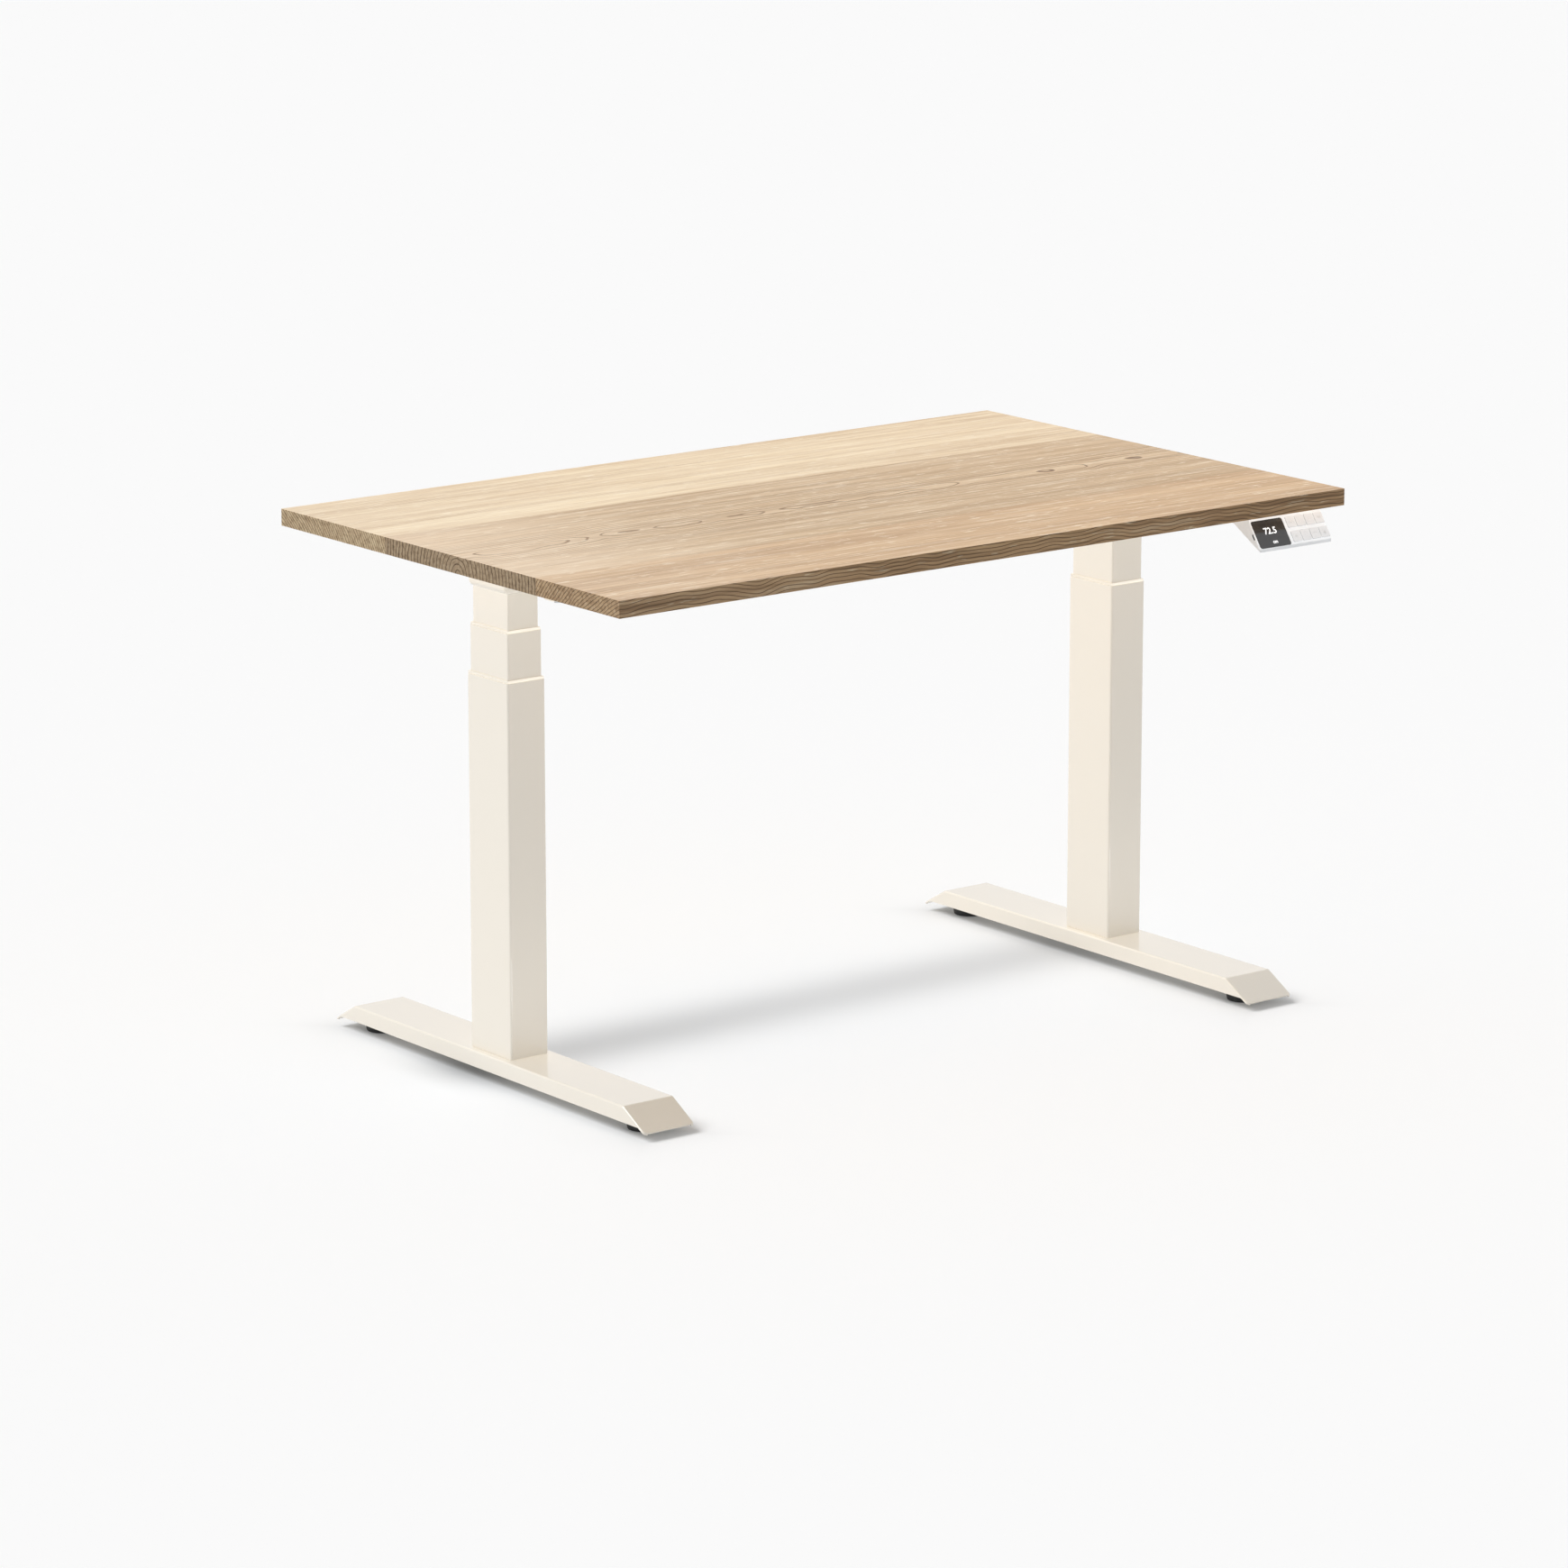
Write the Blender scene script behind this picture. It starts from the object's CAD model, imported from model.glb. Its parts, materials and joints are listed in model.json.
import json
import math

import bmesh
import bpy
from mathutils import Matrix, Vector

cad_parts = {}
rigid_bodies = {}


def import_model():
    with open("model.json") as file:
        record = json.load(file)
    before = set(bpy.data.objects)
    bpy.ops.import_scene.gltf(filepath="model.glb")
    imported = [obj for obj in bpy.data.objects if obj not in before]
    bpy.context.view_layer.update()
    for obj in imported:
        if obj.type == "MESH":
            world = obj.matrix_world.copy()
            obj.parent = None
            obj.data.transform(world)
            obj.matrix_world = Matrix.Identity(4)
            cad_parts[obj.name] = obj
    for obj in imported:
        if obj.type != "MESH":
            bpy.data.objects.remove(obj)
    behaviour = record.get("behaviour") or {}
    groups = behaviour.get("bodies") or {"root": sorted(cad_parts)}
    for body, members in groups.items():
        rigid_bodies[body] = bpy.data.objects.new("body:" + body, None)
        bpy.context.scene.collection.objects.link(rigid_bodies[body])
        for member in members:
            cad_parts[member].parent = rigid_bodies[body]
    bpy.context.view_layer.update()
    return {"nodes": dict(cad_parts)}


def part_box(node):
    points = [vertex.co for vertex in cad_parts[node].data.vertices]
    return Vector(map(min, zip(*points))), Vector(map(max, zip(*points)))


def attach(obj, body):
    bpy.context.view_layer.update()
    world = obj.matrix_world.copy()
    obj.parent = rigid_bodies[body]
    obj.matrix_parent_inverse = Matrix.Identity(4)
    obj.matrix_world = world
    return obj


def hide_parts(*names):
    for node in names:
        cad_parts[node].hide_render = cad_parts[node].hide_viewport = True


# Height adjustable standing desk: a solid wood top on two cream, three-stage telescopic columns.
# Sizes are in millimetres unless a name says otherwise, and a finished mesh is scaled to metres.
# X runs along the desk, the user sits on the -Y side, and the floor is at z = 0.

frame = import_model()
scene = bpy.context.scene

# ---- camera -----------------------------------------------------------------------------------
# A long lens at a person's height, looking at the front and the left end of the desk.

CAMERA_PLACE = (-5.2123, -6.6674, 2.3351)   # metres
CAMERA_AZIMUTH = -37.72                     # degrees
CAMERA_ELEVATION = 13.40

camera_data = bpy.data.cameras.new("studio_camera")
camera_data.sensor_width = 36
camera_data.lens = 149.42
camera = bpy.data.objects.new("studio_camera", camera_data)
camera.location = CAMERA_PLACE
camera.rotation_euler = (
    math.radians(90 - CAMERA_ELEVATION), 0, math.radians(CAMERA_AZIMUTH))
scene.collection.objects.link(camera)
scene.camera = camera
scene.view_settings.view_transform = "Standard"

# ---- studio and floor ---------------------------------------------------------------------------
# A white cove: an even pale surround, and a floor of the same white that lights the desk from
# below. Only the feet throw a shadow from the lamps, so the floor stays clean.

STUDIO_WHITE = 0.955       # linear
AMBIENT = 0.30             # how much of the surround's light reaches matt surfaces
FLOOR_HALF = 60            # metres
FLOOR_GLOW = 0.14          # share of the floor that glows, the rest is matt
FLOOR_UNDER = (0.912, 0.950, 0.993)   # near the desk, against the warm light that it sends down
# A soft shadow lies along the middle of the floor from foot to foot, in metres.
SHADOW_BAND = {"y": 0.062, "spread": 0.060, "left": -0.62, "right": 0.46, "soft": 0.10}
# The dark under the feet, and how fast it fades inside and outside their outline, in metres.
FOOT_SHADE = {"edge": 0.10, "inside": 0.13, "fade_in": 0.035, "fade_out": 0.026}


class Socket:
    """A value in a shader. Sums and products on it add the Math nodes."""

    def __init__(self, shader, socket):
        self.shader = shader
        self.socket = socket

    def combine(self, operation, first, second):
        return self.shader.node("ShaderNodeMath", {"operation": operation},
                                {0: first, 1: second})

    def __add__(self, other):
        return self.combine("ADD", self, other)

    def __sub__(self, other):
        return self.combine("SUBTRACT", self, other)

    def __rsub__(self, other):
        return self.combine("SUBTRACT", other, self)

    def __mul__(self, other):
        return self.combine("MULTIPLY", self, other)

    def __truediv__(self, other):
        return self.combine("DIVIDE", self, other)

    def __pow__(self, other):
        return self.combine("POWER", self, other)

    def __gt__(self, other):
        return self.combine("GREATER_THAN", self, other)

    __radd__ = __add__
    __rmul__ = __mul__


class Shader:
    """The nodes of one material or of the world."""

    def __init__(self, name, block=None):
        self.block = block or bpy.data.materials.new(name)
        self.block.use_nodes = True
        self.tree = self.block.node_tree
        self.tree.nodes.clear()

    def node(self, kind, settings=None, inputs=None, out=0):
        """Adds a node, sets it up, fills its sockets, and gives one of its outputs."""
        made = self.tree.nodes.new(kind)
        for name, value in (settings or {}).items():
            if name == "stops":
                self.set_stops(made.color_ramp, value)
            else:
                setattr(made, name, value)
        for key, value in (inputs or {}).items():
            if isinstance(value, Socket):
                self.tree.links.new(value.socket, made.inputs[key])
            else:
                made.inputs[key].default_value = value
        return Socket(self, made.outputs[out]) if made.outputs else made

    @staticmethod
    def set_stops(ramp, stops):
        while len(ramp.elements) < len(stops):
            ramp.elements.new(1.0)
        for element, (position, color) in zip(ramp.elements, stops):
            element.position = position
            element.color = (*color, 1)

    def place(self):
        return self.node("ShaderNodeTexCoord", out="Object")

    def axes(self):
        parts = self.tree.nodes.new("ShaderNodeSeparateXYZ")
        self.tree.links.new(self.place().socket, parts.inputs[0])
        return [Socket(self, output) for output in parts.outputs]

    def noise(self, stretch, detail=2.0, roughness=0.5, distortion=0.0):
        """Cloudy noise, 0 to 1. stretch is how many times it changes in a metre of each axis."""
        spread = self.node("ShaderNodeVectorMath", {"operation": "MULTIPLY"},
                           {0: self.place(), 1: stretch})
        return self.node("ShaderNodeTexNoise", {}, {
            "Vector": spread, "Scale": 1.0, "Detail": detail, "Roughness": roughness,
            "Distortion": distortion})

    def level(self, value, low, high, smooth=True):
        """0 below low, 1 above high and even between them."""
        style = "SMOOTHSTEP" if smooth else "LINEAR"
        return self.node("ShaderNodeMapRange", {"interpolation_type": style},
                         {"Value": value, "From Min": low, "From Max": high})

    def mix(self, factor, first, second, blend="MIX"):
        colors = {key: value if isinstance(value, Socket) else (*value, 1)
                  for key, value in ((6, first), (7, second))}
        return self.node("ShaderNodeMix", {"data_type": "RGBA", "blend_type": blend},
                         {0: factor, **colors}, out=2)

    def bump(self, height, depth, strength=1.0):
        """A normal from a height of 0 to 1. depth is in metres."""
        return self.node("ShaderNodeBump", {}, {
            "Height": height, "Distance": depth, "Strength": strength})

    def surface(self, **sockets):
        """The main shader. Names are written with _ for a space."""
        inputs = {}
        for name, value in sockets.items():
            is_color = isinstance(value, tuple) and len(value) == 3
            inputs[name.replace("_", " ")] = (*value, 1) if is_color else value
        shade = self.node("ShaderNodeBsdfPrincipled", {}, inputs)
        self.node("ShaderNodeOutputMaterial", {}, {"Surface": shade})
        return self.block


world = bpy.data.worlds.new("studio")
scene.world = world
surround = Shader("studio", world)
seen_matt = surround.node("ShaderNodeLightPath", out="Is Diffuse Ray")
matt_light = surround.node("ShaderNodeBackground", {}, {
    "Color": (1, 1, 1, 1), "Strength": STUDIO_WHITE * AMBIENT})
plain_light = surround.node("ShaderNodeBackground", {}, {
    "Color": (1, 1, 1, 1), "Strength": STUDIO_WHITE})
surround_light = surround.node("ShaderNodeMixShader", {},
                               {0: seen_matt, 1: plain_light, 2: matt_light})
surround.node("ShaderNodeOutputWorld", {}, {"Surface": surround_light})

# Each distant lamp is the way its light comes from, its strength, how soft it is in degrees, and
# the group of pieces that it lights or leaves out, where there is one.
LAMPS = {
    "key_light": ((-0.39, 0.31, 0.55), 0.72, 35, "not collars"),
    "front_light": ((0.10, -0.95, -0.25), 0.045, 50, None),
    "rear_light": ((1.0, 0.10, 0.0), 0.12, 60, None),
    "floor_light": ((0.30, 0.10, 1.0), 0.175, 150, "only floor"),
    "top_light": ((0.0, 0.0, 1.0), 0.18, 20, "only desktop"),
    "collar_side_light": ((-1.0, 0.30, 0.0), 0.33, 20, "only collars"),
    "collar_front_light": ((0.30, -1.0, 0.0), 0.36, 20, "only collars"),
    "collar_top_light": ((0.0, 0.0, 1.0), 0.42, 20, "only collars"),
    "handset_light": ((0.0, -0.08, 1.0), 0.85, 20, "only handset"),
}
# A small lamp stands on the floor before each column and lights the foot of its front.
LOW_LAMP = {"y": -0.28, "z": 0.06, "wide": 0.10, "watts": 0.11}
shadow_makers = bpy.data.collections.new("shadow_makers")
lamp_groups = {}


def lamp(name, kind, from_way, group=None):
    """A lamp without highlights, whose light only the feet and glides block."""
    data = bpy.data.lights.new(name, kind)
    data.specular_factor = 0
    made = bpy.data.objects.new(name, data)
    made.rotation_euler = Vector(from_way).to_track_quat("Z", "Y").to_euler()
    made.visible_camera = False
    made.light_linking.blocker_collection = shadow_makers
    if group:
        if group not in lamp_groups:
            lamp_groups[group] = bpy.data.collections.new(group)
        made.light_linking.receiver_collection = lamp_groups[group]
    scene.collection.objects.link(made)
    return made


def light_group(obj, name):
    """Adds a piece to the lamps' groups of this name, to be lit or left out."""
    for group, state in ((f"only {name}", "INCLUDE"), (f"not {name}", "EXCLUDE")):
        if group in lamp_groups:
            lamp_groups[group].objects.link(obj)
            lamp_groups[group].collection_objects[-1].light_linking.link_state = state


for lamp_name, (from_way, strength, softness, group) in LAMPS.items():
    distant = lamp(lamp_name, "SUN", from_way, group)
    distant.data.energy = strength * math.pi
    distant.data.angle = math.radians(softness)
for node in ("outer_tube_left", "outer_tube_right"):
    low_corner, high_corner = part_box(node)
    low_lamp = lamp(f"{node}_light", "AREA", (0.0, -1.0, 0.15), "only tubes")
    low_lamp.location = ((low_corner.x + high_corner.x) / 2, LOW_LAMP["y"], LOW_LAMP["z"])
    low_lamp.data.size = LOW_LAMP["wide"]
    low_lamp.data.energy = LOW_LAMP["watts"]

floor_paint = Shader("studio_floor")
floor_x, floor_y, floor_z = floor_paint.axes()
across = (floor_y - SHADOW_BAND["y"]) / SHADOW_BAND["spread"]
across_fade = floor_paint.node("ShaderNodeMath", {"operation": "EXPONENT"},
                               {0: across * across * -0.5})
band_left = floor_paint.level(floor_x, SHADOW_BAND["left"], SHADOW_BAND["left"] + SHADOW_BAND["soft"])
band_right = 1 - floor_paint.level(floor_x, SHADOW_BAND["right"],
                                   SHADOW_BAND["right"] + SHADOW_BAND["soft"])
deeper_left = 1 - floor_paint.level(floor_x, -0.45, 0.1)
band = across_fade * band_left * band_right * (0.25 + 0.12 * deeper_left)


def floor_size(value):
    return floor_paint.node("ShaderNodeMath", {"operation": "ABSOLUTE"}, {0: value})


def floor_exp(value):
    return floor_paint.node("ShaderNodeMath", {"operation": "EXPONENT"}, {0: value})


foot_low, foot_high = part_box("foot_left")
past_side = floor_size(floor_size(floor_x) + (foot_low.x + foot_high.x) / 2) - (
    foot_high.x - foot_low.x) / 2
past_tip = floor_size(floor_y) - foot_high.y
past_foot = floor_paint.node("ShaderNodeMath", {"operation": "MAXIMUM"}, {0: past_side, 1: past_tip})
outside = floor_paint.node("ShaderNodeMath", {"operation": "MAXIMUM"}, {0: past_foot, 1: 0.0})
foot_shade = FOOT_SHADE["edge"] * floor_exp(outside / -FOOT_SHADE["fade_out"])
foot_shade = foot_shade + FOOT_SHADE["inside"] * floor_paint.level(
    past_foot * -1.0, 0.0, FOOT_SHADE["fade_in"])
near_desk = floor_exp((floor_x * floor_x / 0.55 + floor_y * floor_y / 0.20) * -1.0)
floor_tone = floor_paint.mix(near_desk, (STUDIO_WHITE,) * 3, FLOOR_UNDER)
dark = 1 - (1 - band) * (1 - foot_shade)
floor_tone = floor_paint.mix(dark, floor_tone, (0.0, 0.0, 0.0))
glow = floor_paint.node("ShaderNodeEmission", {}, {"Color": floor_tone})
matt = floor_paint.node("ShaderNodeBsdfDiffuse", {}, {"Color": floor_tone})
floor_shade = floor_paint.node("ShaderNodeMixShader", {}, {0: FLOOR_GLOW, 1: matt, 2: glow})
floor_paint.node("ShaderNodeOutputMaterial", {}, {"Surface": floor_shade})

floor_mesh = bpy.data.meshes.new("studio_floor")
floor_corners = [(x * FLOOR_HALF, y * FLOOR_HALF, 0)
                 for x, y in ((-1, -1), (1, -1), (1, 1), (-1, 1))]
floor_mesh.from_pydata(floor_corners, [], [(0, 1, 2, 3)])
floor_mesh.materials.append(floor_paint.block)
floor = bpy.data.objects.new("studio_floor", floor_mesh)
scene.collection.objects.link(floor)
light_group(floor, "floor")

# ---- feet ---------------------------------------------------------------------------------------
# Two folded steel channels, open underneath, with a sloping flap at each end. Cream powder coat.
# A threaded boss for each glide is welded under the sheet.

FOOT_SHEET = 2
FOOT_FLAT_HALF = 301.9     # half the length of the flat top
FOOT_TIP_TOP = 11.6        # height of the flap's top face at its tip
FOOT_SIDE_BOTTOM = 16.4
FOOT_BEND = 2.6            # outside radius of the folds
FOOT_TIP_RADIUS = 5.5
GLIDE_Y = 293.5
BOSS = {"radius": 9, "bore": 4.2, "bottom": 18.6}
CREAM = (0.862, 0.804, 0.703)
CREAM_LIGHT = (0.870, 0.812, 0.711)

SIDES = (("left", -1), ("right", 1))


def span(node):
    """A CAD node's lowest and highest corners, in millimetres."""
    low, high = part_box(node)
    return low * 1000, high * 1000


def rings_to_mesh(rings, closed=False):
    """Skins rings of equal point counts. closed joins the last to the first, else ends are capped."""
    bm = bmesh.new()
    made = [[bm.verts.new(point) for point in ring] for ring in rings]
    count = len(rings[0])
    pairs = list(zip(made, made[1:]))
    if closed:
        pairs.append((made[-1], made[0]))
    for lower, upper in pairs:
        for i in range(count):
            j = (i + 1) % count
            bm.faces.new((lower[i], lower[j], upper[j], upper[i]))
    if not closed:
        bm.faces.new(made[0][::-1])
        bm.faces.new(made[-1])
    bmesh.ops.remove_doubles(bm, verts=bm.verts, dist=1e-5)
    bmesh.ops.recalc_face_normals(bm, faces=bm.faces)
    return bm


def corner_ring(width, depth, radius, z, steps=5):
    """A rounded rectangle at height z, about the origin."""
    radius = max(radius, 0.05)
    points = []
    for quarter, (sx, sy) in enumerate(((1, 1), (-1, 1), (-1, -1), (1, -1))):
        for step in range(steps + 1):
            angle = math.radians(90 * (quarter + step / steps))
            points.append((sx * (width / 2 - radius) + radius * math.cos(angle),
                           sy * (depth / 2 - radius) + radius * math.sin(angle), z))
    return points


def turned(profile, sides=40):
    """A turned piece about the upright axis, from [radius, z] points."""
    rings = []
    for radius, z in profile:
        rings.append([(radius * math.cos(2 * math.pi * i / sides),
                       radius * math.sin(2 * math.pi * i / sides), z) for i in range(sides)])
    return rings_to_mesh(rings, closed=profile[0] == profile[-1])


def round_edges(bm, radius, segments=3, over=30, where=None):
    """Rounds the edges that fold by more than the angle, all or those that where() picks."""
    edges = [edge for edge in bm.edges
             if edge.is_manifold and edge.calc_face_angle(0) > math.radians(over)
             and (where is None or where(edge))]
    bmesh.ops.bevel(bm, geom=edges, offset=radius, segments=segments, profile=0.5,
                    affect="EDGES", clamp_overlap=True)
    return bm


def merged_copy(node):
    """A CAD node's own mesh as one skin of flat faces, in millimetres."""
    bm = bmesh.new()
    bm.from_mesh(frame["nodes"][node].data)
    bmesh.ops.transform(bm, matrix=Matrix.Scale(1000, 4), verts=bm.verts)
    bmesh.ops.remove_doubles(bm, verts=bm.verts, dist=1e-3)
    bmesh.ops.dissolve_limit(bm, angle_limit=math.radians(0.5), verts=bm.verts, edges=bm.edges)
    return bm


def join(first, *others):
    """Adds other loose shells to the first."""
    for other in others:
        spare = bpy.data.meshes.new("spare")
        other.to_mesh(spare)
        other.free()
        first.from_mesh(spare)
        bpy.data.meshes.remove(spare)
    return first


def moved(bm, *matrices):
    for matrix in matrices:
        bmesh.ops.transform(bm, matrix=matrix, verts=bm.verts)
    return bm


def settle(obj):
    """Turns an object and its modifiers into a plain mesh."""
    graph = bpy.context.evaluated_depsgraph_get()
    mesh = bpy.data.meshes.new_from_object(obj.evaluated_get(graph))
    obj.modifiers.clear()
    obj.data = mesh


def piece(name, bm, material, body, slot, *nodes, smooth_under=40):
    """Makes a bmesh in millimetres a piece that rides on a body and stands for its CAD nodes."""
    bmesh.ops.transform(bm, matrix=Matrix.Scale(0.001, 4), verts=bm.verts)
    mesh = bpy.data.meshes.new(name)
    bm.to_mesh(mesh)
    bm.free()
    mesh.shade_smooth()
    mesh.set_sharp_from_angle(angle=math.radians(smooth_under))
    mesh.materials.append(material)
    obj = bpy.data.objects.new(name, mesh)
    scene.collection.objects.link(obj)
    even = obj.modifiers.new("even_shading", "WEIGHTED_NORMAL")
    even.keep_sharp = True
    settle(obj)
    obj.data.name = name
    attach(obj, body)
    if nodes:
        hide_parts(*nodes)
    return obj


def powder_coat():
    coat = Shader("cream_powder_coat")
    mottle = coat.noise((5, 5, 5), detail=1)
    peel = coat.noise((650, 650, 650), detail=1)
    tone = coat.mix(mottle, CREAM, CREAM_LIGHT)
    return coat.surface(
        Base_Color=tone, Roughness=0.34 + 0.04 * mottle, Coat_Weight=1.0, Coat_Roughness=0.03,
        Coat_IOR=1.75, Normal=coat.bump(peel, 0.00001, 0.2))


paint = powder_coat()


def foot_sections(width, top, half_length):
    """The foot's outside skin, cut across at one place after another along Y."""
    slope = math.atan2(top - FOOT_TIP_TOP, half_length - FOOT_FLAT_HALF)
    flap = half_length - FOOT_FLAT_HALF
    tip_run = FOOT_TIP_RADIUS * math.cos(slope)
    places = [0, FOOT_FLAT_HALF * 0.5, FOOT_FLAT_HALF - 1.6, FOOT_FLAT_HALF - 0.5,
              FOOT_FLAT_HALF + 0.5, FOOT_FLAT_HALF + 1.6]
    places += [FOOT_FLAT_HALF + flap * share for share in (0.3, 0.55, 0.7, 0.78, 0.84)]
    places += [half_length - tip_run * (1 - math.sin(math.radians(step)))
               for step in range(0, 91, 15)]
    half_list = []
    for y in places:
        past = y - FOOT_FLAT_HALF
        height = top - max(past, 0) * math.tan(slope)
        if abs(past) < 1.6:       # the fold is eased over three millimetres
            height = top - math.tan(slope) * (past + 1.6) ** 2 / 6.4
        into_tip = max(0.0, (y - (half_length - tip_run)) / tip_run)
        half = width / 2 - FOOT_TIP_RADIUS * (1 - math.sqrt(max(0.0, 1 - into_tip ** 2)))
        bottom = min(FOOT_SIDE_BOTTOM, height - FOOT_BEND - 0.05)
        half_list.append((y, half, height, bottom))
    return [(-y, *rest) for y, *rest in half_list[:0:-1]] + half_list


def foot_skin(width, top, half_length):
    bm = bmesh.new()
    rows = []
    bend = [(FOOT_BEND * (1 - math.cos(math.radians(a))), FOOT_BEND * (1 - math.sin(math.radians(a))))
            for a in (0, 30, 60, 90)]
    for y, half, height, bottom in foot_sections(width, top, half_length):
        edge = [(-half, bottom)] + [(-half + inward, height - down) for inward, down in bend]
        crossing = edge + [(-half / 3, height), (half / 3, height)]
        crossing += [(-x, z) for x, z in reversed(edge)]
        rows.append([bm.verts.new((x, y, z)) for x, z in crossing])
    for back, front in zip(rows, rows[1:]):
        for i in range(len(back) - 1):
            bm.faces.new((back[i], back[i + 1], front[i + 1], front[i]))
    bmesh.ops.recalc_face_normals(bm, faces=bm.faces)
    if sum(face.normal.z * face.calc_area() for face in bm.faces) < 0:
        bmesh.ops.reverse_faces(bm, faces=bm.faces)
    return bm


def thickened(bm, sheet):
    """Gives a skin its thickness, on the inside."""
    mesh = bpy.data.meshes.new("spare")
    bm.to_mesh(mesh)
    bm.free()
    obj = bpy.data.objects.new("spare", mesh)
    scene.collection.objects.link(obj)
    wall = obj.modifiers.new("sheet", "SOLIDIFY")
    wall.thickness = sheet
    wall.offset = -1
    wall.use_even_offset = True
    settle(obj)
    solid = bmesh.new()
    solid.from_mesh(obj.data)
    bpy.data.objects.remove(obj)
    return solid


for side, sign in SIDES:
    node = f"foot_{side}"
    low, high = span(node)
    centre = (low + high) / 2
    channel = thickened(foot_skin(high.x - low.x, high.z, high.y), FOOT_SHEET)
    round_edges(channel, 0.35, segments=2, over=60)
    for end in (-1, 1):
        boss = turned([(BOSS["bore"], BOSS["bottom"]), (BOSS["radius"] - 0.6, BOSS["bottom"]),
                       (BOSS["radius"], BOSS["bottom"] + 0.6), (BOSS["radius"], high.z - FOOT_SHEET),
                       (BOSS["bore"], high.z - FOOT_SHEET), (BOSS["bore"], BOSS["bottom"])])
        join(channel, moved(boss, Matrix.Translation((0, end * GLIDE_Y, 0))))
    moved(channel, Matrix.Translation((centre.x, 0, 0)))
    foot = piece(f"{side}_foot", channel, paint, "base", "frame_paint", node)
    shadow_makers.objects.link(foot)

# ---- levelling glides ----------------------------------------------------------------------------
# Four black plastic discs, each moulded on a threaded steel stud that screws up into the foot.

GLIDE = {"foot": 21.8, "top": 24.0, "disc_top": 17.5, "stud": 4.0, "stud_top": 34.0}
THREAD = {"pitch": 1.25, "depth": 0.55}


def moulded_plastic(name, color, roughness, grain=900):
    """Plain moulded plastic with the fine grain of its tool."""
    plastic = Shader(name)
    grain_height = plastic.noise((grain, grain, grain), detail=2)
    cloud = plastic.noise((40, 40, 40), detail=2)
    lighter = tuple(min(1, channel * 1.12 + 0.004) for channel in color)
    return plastic.surface(
        Base_Color=plastic.mix(cloud, color, lighter),
        Roughness=roughness + 0.1 * (cloud - 0.5),
        Normal=plastic.bump(grain_height, 0.00006, 0.5))


def brushed_metal(name, color, roughness, stretch, metallic=1.0):
    """Bare or plated metal with the marks of its making along one way."""
    metal = Shader(name)
    marks = metal.noise(stretch, detail=3, roughness=0.6)
    stain = metal.noise((30, 30, 30), detail=3)
    darker = tuple(channel * 0.82 for channel in color)
    return metal.surface(
        Base_Color=metal.mix(stain, darker, color), Metallic=metallic,
        Roughness=roughness + 0.16 * (marks - 0.5),
        Normal=metal.bump(marks, 0.00005, 0.3))


glide_plastic = moulded_plastic("glide_plastic", (0.012, 0.012, 0.012), 0.55)
zinc = brushed_metal("zinc_plate", (0.62, 0.64, 0.66), 0.38, (120, 120, 120))


def threaded_profile(radius, bottom, top):
    """A thread drawn as rings, from bottom to top."""
    profile = []
    turns = int((top - bottom - 1) / THREAD["pitch"])
    for turn in range(turns):
        start = bottom + turn * THREAD["pitch"]
        profile += [(radius - THREAD["depth"], start), (radius, start + THREAD["pitch"] / 2)]
    return profile + [(radius - THREAD["depth"], top - 0.8), (radius - 1, top), (0, top)]


for side, sign in SIDES:
    for end in ("front", "rear"):
        node = f"glide_{end}_{side}"
        low, high = span(node)
        centre = (low + high) / 2
        place = Matrix.Translation((centre.x, centre.y, 0))
        foot_radius, top_radius, disc_top = GLIDE["foot"], GLIDE["top"], GLIDE["disc_top"]
        disc = turned([
            (0, 0), (foot_radius - 3.2, 0), (foot_radius - 2.6, 0.5), (foot_radius - 1.2, 0.5),
            (foot_radius - 0.3, 0.9), (foot_radius, 1.7), (top_radius - 0.2, disc_top - 2.2),
            (top_radius - 0.5, disc_top - 1.1), (top_radius - 1.3, disc_top - 0.3),
            (top_radius - 2.4, disc_top), (11, disc_top), (10.2, disc_top - 0.8),
            (6.4, disc_top - 0.8), (5.8, disc_top), (0, disc_top)], sides=64)
        stud = turned([(0, disc_top - 1)] + threaded_profile(GLIDE["stud"], disc_top - 1,
                                                             GLIDE["stud_top"]), sides=24)
        glide = piece(f"{side}_{end}_glide", moved(disc, place), glide_plastic, node,
                      "glide_plastic", node)
        piece(f"{side}_{end}_glide_stud", moved(stud, place), zinc, node, "zinc_steel")
        shadow_makers.objects.link(glide)

# ---- telescopic columns --------------------------------------------------------------------------
# Each column is three welded steel tubes in cream powder coat that slide in one another. The widest
# stands on the foot, and plastic collars in the mouths of the two lower tubes guide the next.

TUBE_WALL = 1.4
TUBE_RADIUS = 3.0
STAGES = (("outer", "base", 0.0), ("middle", "middle_{}", 0.5), ("inner", "top", 1.0))
COLLARS = (("lower", "base", "outer"), ("upper", "middle_{}", "middle"))
COLLAR = {"wall": 0.9, "lip": 2.4, "chamfer": 1.6, "gap": 0.3}
COLLAR_WHITE = (0.845, 0.810, 0.735)


def upright_skin(profile, width, depth, radius, closed=True, steps=5):
    """Skins a profile of [inset, z] points round a rounded rectangle."""
    rings = [corner_ring(width - 2 * inset, depth - 2 * inset, max(radius - inset, 0.3), z, steps)
             for inset, z in profile]
    return rings_to_mesh(rings, closed)


def tube_profile(wall, bottom, top, ease=0.45):
    """The cut face of a tube's wall, with its outer edges eased."""
    return [(ease, bottom), (0.13, bottom + 0.13), (0, bottom + ease), (0, top - ease),
            (0.13, top - 0.13), (ease, top), (wall - 0.15, top), (wall, top - 0.15),
            (wall, bottom + 0.15), (wall - 0.15, bottom)]


collar_plastic = moulded_plastic("collar_plastic", COLLAR_WHITE, 0.42, grain=1200)

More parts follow.
